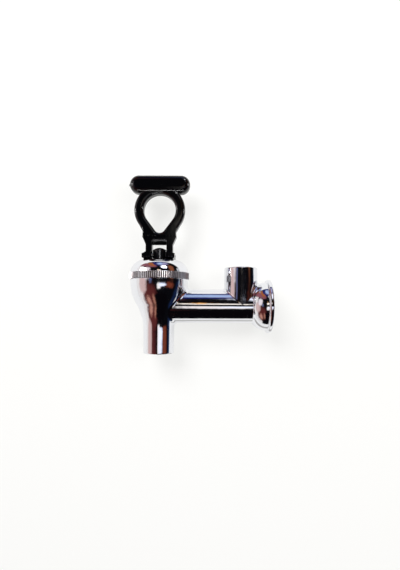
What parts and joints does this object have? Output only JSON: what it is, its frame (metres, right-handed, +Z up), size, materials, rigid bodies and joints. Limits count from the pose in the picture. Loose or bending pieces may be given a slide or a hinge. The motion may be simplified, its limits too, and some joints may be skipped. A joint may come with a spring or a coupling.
{
  "type": "self-closing tap",
  "caption": "Chromed self-closing dispenser tap with a flanged inlet, a gauge boss, a straight spout and a lift-and-tilt finger-ring handle on top.",
  "frame": {"origin": "centre of the flange's mounting face, on the axis of the inlet", "axes": "+X out of the inlet, away from the spout, +Z up along the spout axis towards the handle, +Y away from the viewer of the picture"},
  "size_m": [0.0718, 0.03, 0.0899],
  "materials": {
    "casting": "polished and chrome-plated brass",
    "bonnet": "chrome-plated brass, knurled rim",
    "bush": "turned nylon",
    "clamp_ring": "turned",
    "silicone": "moulded",
    "spring_steel": "drawn stainless",
    "stem": "turned black acetal",
    "pin": "ground stainless",
    "handle": "moulded glossy black",
    "gasket": "cut sheet"
  },
  "bodies": {
    "tap": {"tap_body": "casting", "bonnet": "bonnet", "stem_guide_bush": "bush", "cup_clamp_ring": "clamp_ring", "seat_cup": "silicone", "return_spring": "spring_steel", "gauge_glass_seal": "silicone", "inlet_gasket": "gasket"},
    "lift": {"spring_washer": "spring_steel"},
    "stem": {"stem": "stem"},
    "handle": {"cam_fork": "handle", "finger_ring": "handle", "pivot_pin": "pin"}
  },
  "joints": [
    {"name": "stem_lift", "type": "slide", "parent": "tap", "child": "lift", "axis": [0, 0, 1], "range_m": [0, 0.00325], "deforming": ["return_spring", "seat_cup"]},
    {"name": "handle_swivel", "type": "hinge", "parent": "lift", "child": "stem", "pos_m": [-0.056, 0, 0], "axis": [0, 0, 1], "continuous": true},
    {"name": "handle_tilt", "type": "hinge", "parent": "stem", "child": "handle", "pos_m": [-0.056, 0, 0.0258], "axis": [1, 0, 0], "range_deg": [0, 40], "stiffness_Nm_per_rad": 0.032, "springref_deg": -74.48}
  ],
  "couplings": [
    {"joint": "stem_lift", "follows": "handle_tilt", "m_per_rad": 0.0046}
  ]
}
